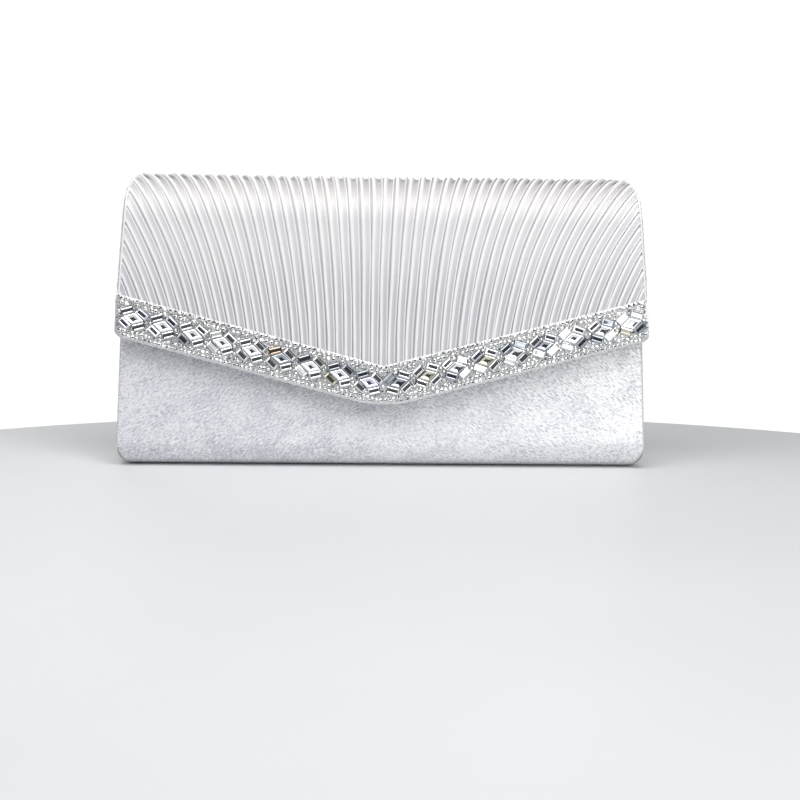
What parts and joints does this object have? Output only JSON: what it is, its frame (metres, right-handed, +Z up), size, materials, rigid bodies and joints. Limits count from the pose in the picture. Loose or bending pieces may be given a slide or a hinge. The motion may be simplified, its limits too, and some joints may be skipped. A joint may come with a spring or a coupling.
{
  "type": "evening bag",
  "caption": "Stiffened satin evening clutch that stands on its base: pleated envelope flap with a crystal-edged V, magnetic snap, folded side gussets, hinged front and inner strap rings",
  "frame": {"origin": "centre of the bounding box in X and Y, on the surface that the bag stands on", "axes": "+X across the bag's width, to the right as seen from the front; the front and its flap face -Y; +Z up"},
  "size_m": [0.2392, 0.0504, 0.13],
  "materials": {
    "greyboard": "dense grey bookbinder's board, cut edges, glued under the cloth",
    "glitter_satin": "white satin with a fine silver shimmer thread, soft broad sheen",
    "pleated_satin": "white satin pressed into narrow knife pleats, bright folds and grey valleys",
    "plain_satin": "smooth white satin, soft sheen",
    "lining_cloth": "thin ivory twill lining, matt",
    "batting": "thin polyester wadding",
    "foam": "flexible foam sheet at the flap's fold",
    "silver_plate": "bright silver-coloured plated metal, polished",
    "silver_mesh": "fine silver-coloured cup chain net, dull shine",
    "steel": "stamped steel washer",
    "magnet": "nickel-plated ferrite magnet, dull",
    "crystal": "clear foil-backed glass crystal, step cut, sharp facets"
  },
  "bodies": {
    "shell": {"case_board": "greyboard", "base_cover": "glitter_satin", "case_lining": "lining_cloth", "back_cover": "glitter_satin", "slip_pocket": "lining_cloth", "slip_pocket_binding": "plain_satin", "flap_hinge_tape": "plain_satin", "gusset_left": "plain_satin", "gusset_right": "plain_satin", "strap_loop_left": "plain_satin", "strap_loop_right": "plain_satin"},
    "front": {"front_board": "greyboard", "front_cover": "glitter_satin", "front_lining": "lining_cloth", "front_top_binding": "plain_satin", "snap_socket_shell": "silver_plate", "snap_socket_magnet": "magnet", "snap_socket_plate": "silver_plate", "snap_socket_washer": "steel", "snap_socket_patch": "lining_cloth"},
    "flap": {"flap_pleated_cover": "pleated_satin", "flap_batting": "batting", "flap_board": "greyboard", "flap_fold_foam": "foam", "flap_lining": "lining_cloth", "flap_edge_binding": "plain_satin", "snap_stud": "silver_plate", "snap_stud_washer": "steel", "crystal_band_backing": "silver_mesh", "baguette_settings": "silver_plate", "baguette_crystals": "crystal", "centre_settings": "silver_plate", "centre_crystals": "crystal", "upper_edge_stones": "crystal", "upper_inner_stones": "crystal", "lower_edge_stones": "crystal", "lower_inner_stones": "crystal", "notch_stones": "crystal"},
    "ring_left": {"strap_ring_left": "silver_plate"},
    "ring_right": {"strap_ring_right": "silver_plate"}
  },
  "joints": [
    {"name": "flap_open", "type": "hinge", "parent": "shell", "child": "flap", "pos_m": [0, 0.01999, 0.1175], "axis": [-1, 0, 0], "range_deg": [0, 180]},
    {"name": "front_open", "type": "hinge", "parent": "shell", "child": "front", "pos_m": [0, -0.01919, 0.014], "axis": [1, 0, 0], "range_deg": [0, 15], "deforming": ["gusset_left", "gusset_right"]},
    {"name": "ring_left_swing", "type": "hinge", "parent": "shell", "child": "ring_left", "pos_m": [-0.082, 0.01615, 0.097], "axis": [-1, 0, 0], "range_deg": [-5, 150]},
    {"name": "ring_right_swing", "type": "hinge", "parent": "shell", "child": "ring_right", "pos_m": [0.082, 0.01615, 0.097], "axis": [-1, 0, 0], "range_deg": [-5, 150]}
  ],
  "couplings": [
    {"joint": "front_open", "follows": "flap_open", "ratio": 0.0833}
  ]
}
